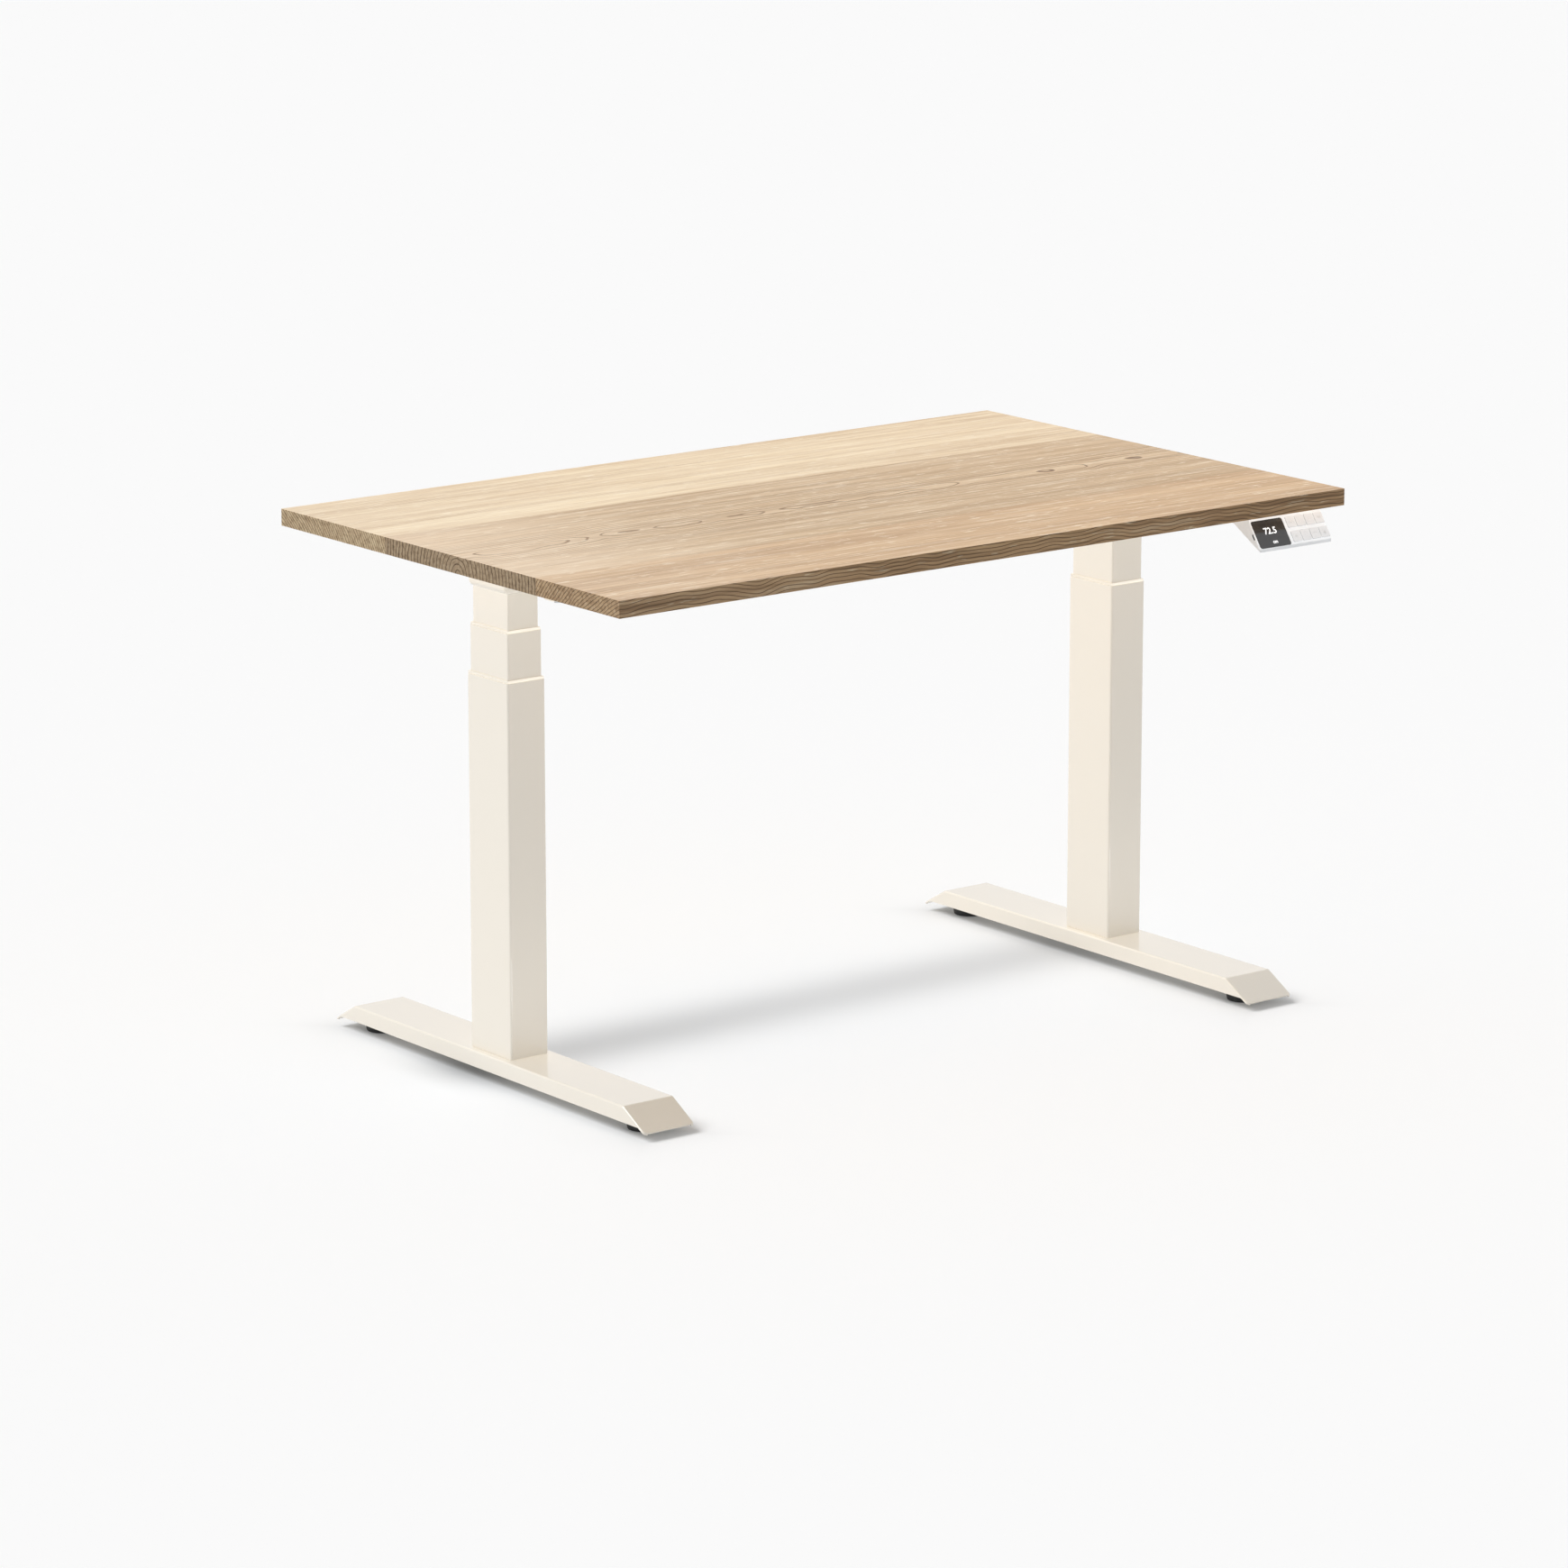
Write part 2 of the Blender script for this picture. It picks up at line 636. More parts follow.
for side, sign in SIDES:
    for stage, body, tighter in STAGES:
        node = f"{stage}_tube_{side}"
        low, high = span(node)
        centre = (low + high) / 2
        tube = upright_skin(tube_profile(TUBE_WALL, low.z, high.z), high.x - low.x, high.y - low.y,
                            TUBE_RADIUS - tighter)
        tube = piece(f"{side}_{stage}_tube", moved(tube, Matrix.Translation((centre.x, centre.y, 0))),
                     paint, body.format(side), "frame_paint", node)
        light_group(tube, "tubes")
    for level_name, body, stage in COLLARS:
        node = f"{level_name}_collar_{side}"
        low, high = span(node)
        tube_low, tube_high = span(f"{stage}_tube_{side}")
        centre = (low + high) / 2
        rim, lip, chamfer = high.z, COLLAR["lip"], COLLAR["chamfer"]
        sleeve = TUBE_WALL + COLLAR["gap"]
        bore = sleeve + COLLAR["wall"]
        profile = [(sleeve, low.z), (sleeve, rim - lip), (0.25, rim - lip), (0.0, rim - lip + 0.25),
                   (0.0, rim - chamfer - 0.35), (0.12, rim - chamfer),
                   (chamfer - 0.45, rim - 0.3), (chamfer - 0.05, rim), (bore - 0.3, rim),
                   (bore, rim - 0.3), (bore, low.z)]
        collar = upright_skin(profile, tube_high.x - tube_low.x, tube_high.y - tube_low.y,
                              TUBE_RADIUS)
        collar = piece(
            f"{side}_{level_name}_collar", moved(collar, Matrix.Translation((centre.x, centre.y, 0))),
            collar_plastic, body.format(side), "collar_plastic", node)
        light_group(collar, "collars")

# ---- the drive inside the columns ----------------------------------------------------------------
# Two steel lead screws, their nuts and a hexagonal shaft turn inside each column, between zinc
# plated end plates. All are hidden, and keep their plain machined shapes.

THREAD_PER_METRE = 1000 / 8


def threaded_steel():
    """Ground steel with the ridges of an 8 mm lead wound round it."""
    steel = Shader("threaded_steel")
    x, y, z = steel.axes()
    ridge = steel.node("ShaderNodeMath", {"operation": "PINGPONG"},
                       {0: z * THREAD_PER_METRE * 2, 1: 1.0})
    grease = steel.noise((60, 60, 25), detail=3)
    return steel.surface(
        Base_Color=steel.mix(grease, (0.42, 0.41, 0.38), (0.58, 0.57, 0.55)), Metallic=1.0,
        Roughness=0.22 + 0.25 * grease, Normal=steel.bump(ridge, 0.0006, 0.8))


screw_steel = threaded_steel()
bare_steel = brushed_metal("bare_steel", (0.56, 0.56, 0.55), 0.34, (260, 260, 40))
cast_alloy = brushed_metal("cast_alloy", (0.36, 0.37, 0.38), 0.55, (500, 500, 500), metallic=0.9)
DRIVE_FINISHES = {
    "base_plate": zinc, "middle_end_cap": zinc, "lower_nut_post": bare_steel,
    "nut_carrier": bare_steel, "lower_screw": screw_steel, "upper_screw": screw_steel,
    "drive_shaft": bare_steel, "gearbox": cast_alloy}
for side, sign in SIDES:
    for node, material in DRIVE_FINISHES.items():
        mesh = frame["nodes"][f"{node}_{side}"].data
        mesh.materials.clear()
        mesh.materials.append(material)

# ---- column heads and motors ---------------------------------------------------------------------
# A flared housing at the head of each column holds the gearbox. The motor lies across under the
# top, toward the middle: a dark steel can with a black end cap where its lead comes out.

HEAD = {"wall": 2.5, "flare": 5.5, "flare_height": 8, "radius": 2.5}
MOTOR = {"radius": 19, "shaft": 4, "shaft_reach": 18, "cap": 22}
MOTOR_GREY = (0.075, 0.078, 0.082)

motor_paint = moulded_plastic("motor_can_paint", MOTOR_GREY, 0.42, grain=500)
black_plastic = moulded_plastic("black_plastic", (0.014, 0.014, 0.015), 0.5)


def head_profile(bottom, top):
    """The housing swells to its full width in a hollow curve, like a small bell."""
    flare, height = HEAD["flare"], HEAD["flare_height"]
    curve = [(flare * (1 - math.sin(math.radians(a))), bottom + height * (1 - math.cos(math.radians(a))))
             for a in range(0, 91, 15)]
    outside = [(flare + 0.5, bottom), *curve, (0, top - 0.8), (0.25, top - 0.2), (0.8, top)]
    inside = [(HEAD["wall"], top), (HEAD["wall"], bottom + height), (flare + 0.6, bottom + 0.6)]
    return outside + inside


for side, sign in SIDES:
    node = f"head_housing_{side}"
    low, high = span(node)
    centre = (low + high) / 2
    head = upright_skin(head_profile(low.z, high.z), high.x - low.x, high.y - low.y,
                        HEAD["radius"] + HEAD["flare"])
    piece(f"{side}_head_housing", moved(head, Matrix.Translation((centre.x, centre.y, 0))), paint,
          "top", "frame_paint", node)

    column_x = centre.x
    node = f"motor_{side}"
    low, high = span(node)
    near, end = sorted(abs(x - column_x) for x in (low.x, high.x))
    face_x = near + MOTOR["shaft_reach"]
    axis_z = (low.z + high.z) / 2
    outward = Matrix.Translation((column_x, 0, axis_z)) @ Matrix.Rotation(
        math.radians(-90 * sign), 4, "Y")
    radius = MOTOR["radius"]
    can_end = end - MOTOR["cap"]
    can = [(0, near), (MOTOR["shaft"], near), (MOTOR["shaft"], face_x),
           (9, face_x), (9, face_x + 1.5), (radius - 1.2, face_x + 1.5), (radius, face_x + 2.7),
           (radius, face_x + 5.5), (radius - 0.6, face_x + 6.1), (radius - 0.6, can_end - 3),
           (radius, can_end - 2.6), (radius, can_end), (0, can_end)]
    piece(f"{side}_motor", moved(turned(can, sides=56), outward), motor_paint, "top",
          "motor_casing", node)
    cap = [(0, can_end + 0.05), (radius - 0.4, can_end + 0.05), (radius - 0.4, end - 6),
           (radius - 1.2, end - 3.2), (radius - 3.4, end - 2.4), (radius - 3.4, end - 0.8),
           (radius - 4.2, end), (5.2, end), (4.8, end - 1), (0, end - 1)]
    piece(f"{side}_motor_cap", moved(turned(cap, sides=56), outward), black_plastic, "top",
          "motor_casing")

# ---- top brackets --------------------------------------------------------------------------------
# A pressed steel bracket on each column head carries the top: a plate screwed up into the wood,
# with two tapered flanges along its sides for stiffness. Cream powder coat.

for side, sign in SIDES:
    node = f"top_bracket_{side}"
    bracket = round_edges(merged_copy(node), 0.7, segments=3)
    piece(f"{side}_top_bracket", bracket, paint, "top", "frame_paint", node)

# ---- crossbar ------------------------------------------------------------------------------------
# Two rails tie the column heads together. Each is a wide steel tube with a narrower one sliding in
# it, so the frame suits tops of different widths, and set screws lock them.

RAIL_WALL = 1.5
RAIL_RADIUS = 2.2

for row in ("front", "rear"):
    for side, sign in SIDES:
        node = f"{row}_rail_{side}"
        low, high = span(node)
        centre = (low + high) / 2
        along_x = Matrix.Translation((centre.x, centre.y, centre.z)) @ Matrix.Rotation(
            math.radians(90), 4, "Y")
        half = (high.x - low.x) / 2
        rail = upright_skin(tube_profile(RAIL_WALL, -half, half, ease=0.3), high.z - low.z,
                            high.y - low.y, RAIL_RADIUS)
        piece(f"{row}_{side}_rail", moved(rail, along_x), paint, "top", "frame_paint", node)

# ---- desktop -------------------------------------------------------------------------------------
# Three wide boards of pale hardwood glued edge to edge, sanded and oiled. Each board has its own
# tint and its own growth rings, which show as long lines on top and as arcs on the ends.

ARRIS = 0.7
JOINT_Y = (-0.199, 0.133)        # metres, where the three boards meet
# How far each board's pith lies from the desk's middle and from the floor, and its ring spacing.
BOARDS = (
    {"pith": (-0.500, 0.450), "rings": 0.0046, "light": (0.735, 0.52, 0.32),
     "dark": (0.48, 0.305, 0.175), "end": 0.97},
    {"pith": (-0.033, 0.686), "rings": 0.0070, "light": (0.73, 0.55, 0.36),
     "dark": (0.45, 0.305, 0.18), "end": 0.62},
    {"pith": (0.560, 0.450), "rings": 0.0046, "light": (0.96, 0.80, 0.57),
     "dark": (0.74, 0.56, 0.37), "end": 0.95},
)
EDGE_TINT = (0.45, 0.42, 0.36)   # the oil soaks in deeper where the boards are cut


def solid_wood():
    wood = Shader("oiled_hardwood")
    x, y, z = wood.axes()
    board_2 = y > JOINT_Y[0]
    board_3 = y > JOINT_Y[1]
    middle_board = board_2 - board_3

    def by_board(pick):
        first, second, third = (pick(board) for board in BOARDS)
        return first + (second - first) * board_2 + (third - second) * board_3

    def color_by_board(key):
        lower = wood.mix(board_2, BOARDS[0][key], BOARDS[1][key])
        return wood.mix(board_3, lower, BOARDS[2][key])

    def size(value):
        return wood.node("ShaderNodeMath", {"operation": "ABSOLUTE"}, {0: value})

    # the pith wanders a little along each board, and that draws the pointed arches on top
    wander_y = wood.noise((2.3, 0.01, 0.01), detail=2) - 0.5
    wander_z = wood.noise((3.1, 0.02, 0.02), detail=3, roughness=0.6) - 0.5
    waves = wood.noise((2.6, 16, 16), detail=4, roughness=0.6) - 0.5
    from_y = y - by_board(lambda board: board["pith"][0]) + wander_y * 0.06 + waves * 0.010
    from_z = z - by_board(lambda board: board["pith"][1]) + wander_z * 0.085
    radius = (from_y * from_y + from_z * from_z) ** 0.5
    uneven = wood.noise((0.3, 28, 28), detail=2) - 0.5
    rings = radius / by_board(lambda board: board["rings"]) + uneven * 1.5
    ring = wood.node("ShaderNodeMath", {"operation": "FRACT"}, {0: rings})
    late_wood = wood.level(ring, 0.62, 0.86) * (1 - wood.level(ring, 0.92, 1.0))
    heart = middle_board * (1 - wood.level(size(from_y), 0.025, 0.080))
    heart_line = wood.level(ring, 0.76, 0.88) * (1 - wood.level(ring, 0.93, 1.0))
    late_wood = late_wood + (heart_line - late_wood) * heart
    strength = 0.38 * wood.level(wood.noise((0.8, 24, 24), detail=2), 0.35, 0.75) + 0.80 * heart

    streaks = wood.noise((1.3, 34, 34), detail=5, roughness=0.72)
    strands = wood.noise((5, 150, 150), detail=3, roughness=0.65)
    broad = wood.noise((0.7, 9, 9), detail=1)
    fine = wood.noise((14, 520, 520), detail=3, roughness=0.7)
    flecks = wood.level(wood.noise((30, 300, 300), detail=2, roughness=0.6), 0.61, 0.69)
    pores = wood.level(wood.noise((30, 1100, 1100), detail=1), 0.62, 0.76)

    shade = 0.85 * wood.level(streaks, 0.34, 0.68) + 0.30 * (broad - 0.4)
    tone = wood.mix(shade, color_by_board("light"), color_by_board("dark"))
    pale_end = middle_board * wood.level(x, -0.25, -0.62)
    tone = wood.mix(0.60 * pale_end, tone, (0.86, 0.67, 0.48))
    tone = wood.mix(0.10 * wood.level(x, -0.10, -0.60), tone, (1.00, 0.92, 0.80))
    tone = wood.mix(0.16 * wood.level(x, -0.10, 0.55), tone, (0.62, 0.40, 0.22))
    tone = wood.mix(0.60 * wood.level(strands, 0.50, 0.68), tone, (0.78, 0.70, 0.60), blend="MULTIPLY")
    tone = wood.mix(0.35 - 0.35 * wood.level(strands, 0.32, 0.46), tone, (0.99, 0.88, 0.72))
    tone = wood.mix(late_wood * strength, tone, (0.24, 0.145, 0.08))
    tone = wood.mix(0.30 * wood.level(fine, 0.40, 0.75), tone, (0.50, 0.34, 0.21))
    tone = wood.mix(flecks * 0.60, tone, (0.99, 0.88, 0.72))
    tone = wood.mix(pores * 0.28, tone, (0.34, 0.22, 0.13))

    way = wood.tree.nodes.new("ShaderNodeNewGeometry")
    facing = wood.tree.nodes.new("ShaderNodeSeparateXYZ")
    wood.tree.links.new(way.outputs["Normal"], facing.inputs[0])
    edge = 1 - wood.level(size(Socket(wood, facing.outputs[2])), 0.45, 0.75)
    end = wood.level(size(Socket(wood, facing.outputs[0])), 0.45, 0.75)
    cut = 0.85 * late_wood + 0.35 * wood.level(strands, 0.45, 0.65)
    edge_tone = wood.mix(cut, tone, (0.17, 0.11, 0.065))
    edge_tone = wood.mix(1.0, edge_tone, EDGE_TINT, blend="MULTIPLY")
    lighter = 1.36 + (by_board(lambda board: board["end"]) - 1.0) * end
    edge_tone = wood.node("ShaderNodeVectorMath", {"operation": "SCALE"}, {0: edge_tone, "Scale": lighter})
    tone = wood.mix(edge, tone, edge_tone)
    grain_height = 0.6 * fine - 0.5 * pores - 0.3 * late_wood
    return wood.surface(
        Base_Color=tone, Roughness=0.46 + 0.12 * fine + 0.06 * late_wood,
        Specular_IOR_Level=0.25, Normal=wood.bump(grain_height, 0.0001, 0.3))


low, high = span("desktop")
boards = upright_skin([(ARRIS, low.z), (ARRIS * 0.3, low.z + ARRIS * 0.3), (0, low.z + ARRIS),
                       (0, high.z - ARRIS), (ARRIS * 0.3, high.z - ARRIS * 0.3), (ARRIS, high.z)],
                      high.x - low.x, high.y - low.y, 1.0, closed=False, steps=3)
desktop = piece("wood_desktop", boards, solid_wood(), "top", "wood_top", "desktop")
light_group(desktop, "desktop")

# ---- control box ---------------------------------------------------------------------------------
# A black plastic box screwed up under the top. A groove runs round where its two halves meet, and
# vents are cut in its underside.

BOX = {"corner": 8, "ease": 2.5, "groove": 0.8, "vent_width": 3, "vent_length": 46, "vents": 9,
       "vent_pitch": 9, "vent_depth": 4}


def block(x0, x1, y0, y1, z0, z1):
    bm = bmesh.new()
    bmesh.ops.create_cube(bm, size=1)
    stretch = Matrix.Diagonal((x1 - x0, y1 - y0, z1 - z0, 1))
    return moved(bm, stretch, Matrix.Translation(((x0 + x1) / 2, (y0 + y1) / 2, (z0 + z1) / 2)))


def carved(body, *cutters):
    """Cuts closed shells out of a closed shell."""
    objects = []
    for name, bm in (("spare_body", body), ("spare_cutter", join(*cutters))):
        mesh = bpy.data.meshes.new(name)
        bm.to_mesh(mesh)
        bm.free()
        obj = bpy.data.objects.new(name, mesh)
        scene.collection.objects.link(obj)
        objects.append(obj)
    cut = objects[0].modifiers.new("cut", "BOOLEAN")
    cut.operation = "DIFFERENCE"
    cut.solver = "EXACT"
    cut.object = objects[1]
    settle(objects[0])
    result = bmesh.new()
    result.from_mesh(objects[0].data)
    for obj in objects:
        bpy.data.objects.remove(obj)
    bmesh.ops.remove_doubles(result, verts=result.verts, dist=1e-3)
    return result


box_plastic = moulded_plastic("control_box_plastic", (0.016, 0.016, 0.017), 0.55, grain=650)
low, high = span("control_box")
centre = (low + high) / 2
seam = low.z + 19
ease = BOX["ease"]
case_profile = [(ease, low.z), (ease * 0.3, low.z + ease * 0.3), (0, low.z + ease), (0, seam - 0.5),
                (BOX["groove"], seam), (BOX["groove"], seam + 0.5), (0, seam + 1),
                (0, high.z - 0.6), (0.6, high.z)]
case = upright_skin(case_profile, high.x - low.x, high.y - low.y, BOX["corner"], closed=False)
vents = []
for i in range(BOX["vents"]):
    x = (i - (BOX["vents"] - 1) / 2) * BOX["vent_pitch"] + 62
    vents.append(block(x - BOX["vent_width"] / 2, x + BOX["vent_width"] / 2,
                       -BOX["vent_length"] / 2, BOX["vent_length"] / 2,
                       low.z - 5, low.z + BOX["vent_depth"]))
case = carved(case, *vents)
piece("control_box_case", moved(case, Matrix.Translation((centre.x, centre.y, 0))), box_plastic,
      "top", "box_plastic", "control_box", smooth_under=50)

# ---- mains inlet ---------------------------------------------------------------------------------
# A three-pin socket in the control box's rear face: a black moulding with two cut corners and
# three flat steel pins.

PIN = {"width": 2.0, "height": 4.0, "reach": 10, "spread": 7, "drop": 3}

low, high = span("mains_inlet")
centre = (low + high) / 2
half_x, half_z = (high.x - low.x) / 2, (high.z - low.z) / 2
socket_shell = upright_skin(
    [(0.5, 0), (0.5, high.y - low.y - 0.4), (0.9, high.y - low.y), (2, high.y - low.y),
     (2.2, high.y - low.y - 0.4), (2.2, 2.0), (8, 1.8), (8, 0)], 2 * half_x, 2 * half_z, 2.4)
floor_of_socket = block(-half_x + 6, half_x - 6, -half_z + 6, half_z - 6, 0.02, 1.8)
facing_rear = Matrix.Translation((centre.x, low.y, centre.z)) @ Matrix.Rotation(
    math.radians(-90), 4, "X")
piece("inlet_socket", moved(join(socket_shell, floor_of_socket), facing_rear), black_plastic,
      "top", "box_plastic", "mains_inlet")
pins = [block(x - PIN["width"] / 2, x + PIN["width"] / 2, y - PIN["height"] / 2,
              y + PIN["height"] / 2, 1.7, PIN["reach"])
        for x, y in ((-PIN["spread"], PIN["drop"]), (0, -PIN["drop"]), (PIN["spread"], PIN["drop"]))]
pins = [round_edges(pin, 0.4, segments=2) for pin in pins]
piece("inlet_pins", moved(join(*pins), facing_rear), zinc, "top", "zinc_steel")

# ---- leads and clips -----------------------------------------------------------------------------
# Black leads run from each motor and from the handset to plugs in the control box's ends. Saddle
# clips hold them up under the top.

LEAD = {"radius": 2.6, "plug": 5.2, "plug_length": 22}


def smooth_path(points, steps=10):
    """A centripetal curve through the points, the same as the frame's own leads follow."""
    ends = [2 * points[0] - points[1], *points, 2 * points[-1] - points[-2]]
    path = []
    for p0, p1, p2, p3 in zip(ends, ends[1:], ends[2:], ends[3:]):
        knots = [0.0]
        for a, b in ((p0, p1), (p1, p2), (p2, p3)):
            knots.append(knots[-1] + max((b - a).length, 1e-4) ** 0.5)
        for step in range(steps):
            t = knots[1] + (knots[2] - knots[1]) * step / steps
            a1 = p0.lerp(p1, (t - knots[0]) / (knots[1] - knots[0]))
            a2 = p1.lerp(p2, (t - knots[1]) / (knots[2] - knots[1]))
            a3 = p2.lerp(p3, (t - knots[2]) / (knots[3] - knots[2]))
            b1 = a1.lerp(a2, (t - knots[0]) / (knots[2] - knots[0]))
            b2 = a2.lerp(a3, (t - knots[1]) / (knots[3] - knots[1]))
            path.append(b1.lerp(b2, (t - knots[1]) / (knots[2] - knots[1])))
    return path + [points[-1]]


def baked(obj, name, body, slot, *nodes):
    """Fixes a Geometry Nodes result as a plain piece."""
    settle(obj)
    obj.data.name = name
    obj.name = name
    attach(obj, body)
    if nodes:
        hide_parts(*nodes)
    return obj


class Steps:
    """A Geometry Nodes tree with named inputs."""

    def __init__(self, name, **inputs):
        self.tree = bpy.data.node_groups.new(name, "GeometryNodeTree")
        face = self.tree.interface
        face.new_socket("Geometry", in_out="INPUT", socket_type="NodeSocketGeometry")
        self.ids = {}
        for key, kind in inputs.items():
            made = face.new_socket(key, in_out="INPUT", socket_type=f"NodeSocket{kind}")
            self.ids[key] = made.identifier
        face.new_socket("Geometry", in_out="OUTPUT", socket_type="NodeSocketGeometry")
        self.given = self.tree.nodes.new("NodeGroupInput")

    def node(self, kind, settings=None, inputs=None):
        made = self.tree.nodes.new(kind)
        for name, value in (settings or {}).items():
            setattr(made, name, value)
        for key, value in (inputs or {}).items():
            if isinstance(value, bpy.types.NodeSocket):
                self.tree.links.new(value, made.inputs[key])
            else:
                made.inputs[key].default_value = value
        return made.outputs[0]

    def end(self, geometry, material, smooth_under=40):
        """Realizes the result, shades it, gives it its material and sends it out."""
        real = self.node("GeometryNodeRealizeInstances", {}, {0: geometry})
        smooth = self.node("GeometryNodeSetShadeSmooth", {"domain": "FACE"}, {0: real, 2: True})
        angle = self.node("GeometryNodeInputMeshEdgeAngle")
        sharp = self.node("FunctionNodeCompare", {"operation": "GREATER_THAN"},
                          {0: angle, 1: math.radians(smooth_under)})
        edged = self.node("GeometryNodeSetShadeSmooth", {"domain": "EDGE"}, {0: smooth, 1: sharp, 2: False})
        painted = self.node("GeometryNodeSetMaterial", {}, {0: edged, 2: material})
        out = self.tree.nodes.new("NodeGroupOutput")
        self.tree.links.new(painted, out.inputs[0])

    def run(self, points, edges=(), **values):
        """Runs the tree on points in metres, and gives the object."""
        mesh = bpy.data.meshes.new("marks")
        mesh.from_pydata(points, edges, [])
        obj = bpy.data.objects.new("marks", mesh)
        scene.collection.objects.link(obj)
        modifier = obj.modifiers.new("steps", "NODES")
        modifier.node_group = self.tree
        for key, value in values.items():
            modifier[self.ids[key]] = value
        return obj


lead_rubber = moulded_plastic("lead_sheath", (0.013, 0.013, 0.014), 0.48, grain=1400)
lead_steps = Steps("lead_along_path", Radius="Float", Sides="Int")
lead_curve = lead_steps.node("GeometryNodeMeshToCurve", {}, {0: lead_steps.given.outputs[0]})
lead_round = lead_steps.node("GeometryNodeCurvePrimitiveCircle", {}, {
    "Radius": lead_steps.given.outputs["Radius"], "Resolution": lead_steps.given.outputs["Sides"]})
lead_tube = lead_steps.node("GeometryNodeCurveToMesh", {}, {
    "Curve": lead_curve, "Profile Curve": lead_round, "Fill Caps": True})
lead_steps.end(lead_tube, lead_rubber)

box_low, box_high = span("control_box")
rail_low, rail_high = span("rear_rail_left")
under_rail = rail_low.z - 7
socket_z = (box_low.z + box_high.z) / 2
socket_x = box_high.x + 0.3
rail_y = (rail_low.y + rail_high.y) / 2
motor_low, motor_high = span("motor_right")
motor_end = motor_low.x
motor_z = (motor_low.z + motor_high.z) / 2
motor_route = [
    (motor_end - 0.3, 0, motor_z), (motor_end - 12, 0, motor_z - 1), (motor_end - 30, 8, motor_z - 14),
    (motor_end - 44, 34, under_rail), (motor_end - 56, rail_y, under_rail),
    (motor_end - 70, 92, under_rail + 4), (motor_end - 100, 122, socket_z - 6),
    (motor_end - 150, 132, socket_z), (socket_x + 30, 132, socket_z), (socket_x, 132, socket_z)]
handset_low, handset_high = span("handset_case")
handset_back = handset_high.y
handset_route = [
    (459, handset_back + 0.3, 678), (458, handset_back + 14, 679), (448, -240, 680), (430, -170, 680),
    (404, -120, 674), (378, -90, 648), (352, -rail_y, under_rail), (322, -20, under_rail),
    (290, 30, under_rail), (262, rail_y, under_rail), (236, 96, under_rail + 4),
    (210, 136, socket_z - 6), (180, 158, socket_z), (socket_x + 18, 162, socket_z),
    (socket_x, 162, socket_z)]
routes = {"handset_lead": [Vector(p) for p in handset_route]}
for side, sign in SIDES:
    routes[f"motor_lead_{side}"] = [Vector((sign * x, y, z)) for x, y, z in motor_route]
for node, points in routes.items():
    path = [tuple(p / 1000) for p in smooth_path(points)]
    links = [(i, i + 1) for i in range(len(path) - 1)]
    run = lead_steps.run(path, links, Radius=LEAD["radius"] / 1000, Sides=14)
    baked(run, f"{node}_sheath", "top", "lead_sheath", node)
    end_x, end_y, end_z = points[-1]
    sign = 1 if end_x > 0 else -1
    plug_radius, plug_length = LEAD["plug"], LEAD["plug_length"]
    plug = [(0, 0.05), (plug_radius, 0.05), (plug_radius, 8), (plug_radius - 0.6, 9)]
    for rib in range(4):
        z = 9.5 + rib * 3
        size = plug_radius - 1.0 - 0.3 * rib
        plug += [(size, z), (size, z + 1.8), (size - 0.8, z + 2.1), (size - 0.8, z + 2.7)]
    plug += [(LEAD["radius"] + 0.1, plug_length), (0, plug_length)]
    outward = Matrix.Translation((end_x - sign * 0.2, end_y, end_z)) @ Matrix.Rotation(
        math.radians(90 * sign), 4, "Y")
    piece(f"{node}_plug", moved(turned(plug, sides=28), outward), black_plastic, "top",
          "lead_sheath")

# ---- handset -------------------------------------------------------------------------------------
# A white moulded wedge under the front edge. Its sloping face holds a dark display and two rows of
# four soft keys, and a USB port opens in its left side.

HANDSET = {"face_top_y": -345.6, "face_top_z": 677.7, "face_length": 44.6, "tilt": 55, "lip": 4.3,
           "knee": (-318, 668), "back_z": 672, "corner": 2.4, "ease": 1.1}
USB = {"slope": 24.8, "length": 9.2, "thickness": 3.2, "behind": 3.6, "depth": 9}
KEY_POCKET = 3.2
KEY_PLACES = {
    "key_up": (0, 0), "key_preset_1": (1, 0), "key_preset_2": (2, 0), "key_memory": (3, 0),
    "key_down": (0, 1), "key_preset_3": (1, 1), "key_preset_4": (2, 1), "key_lock": (3, 1)}
KEY_LEFT, KEY_PITCH, KEY_WIDTH, KEY_HEIGHT = 62.2, 16.6, 15.2, 15.6
KEY_ROWS = (4.6, 25.4)
KEY_PROUD = 0.5
KEY_THICK = 2.6
SCREEN = {"left": 2.0, "top": 3.9, "width": 54.4, "height": 40, "radius": 3, "thick": 1.6,
          "proud": 0.2}
MARK_THICK = 0.06

case_low, case_high = span("handset_case")
tilt = math.radians(HANDSET["tilt"])
face_frame = Matrix.Translation((case_low.x, HANDSET["face_top_y"], HANDSET["face_top_z"])) @ (
    Matrix.Rotation(tilt, 4, "X"))


def plate(left, down, width, height, radius, z0, z1, ease=0.0):
    """A rounded plate in the handset's face, with its outer edge eased."""
    rings = [corner_ring(width, height, radius, z0)]
    if ease:
        for angle in (0, 30, 60, 90):
            inset = ease * (1 - math.cos(math.radians(angle)))
            rise = ease * math.sin(math.radians(angle))
            rings.append(corner_ring(width - 2 * inset, height - 2 * inset, radius - inset,
                                     z1 - ease + rise))
    else:
        rings.append(corner_ring(width, height, radius, z1))
    return moved(rings_to_mesh(rings), Matrix.Translation((left + width / 2, -down - height / 2, 0)))


def side_prism(outline, x0, x1):
    """A prism whose outline lies in the Y-Z plane."""
    return rings_to_mesh([[(x, y, z) for y, z in outline] for x in (x0, x1)])


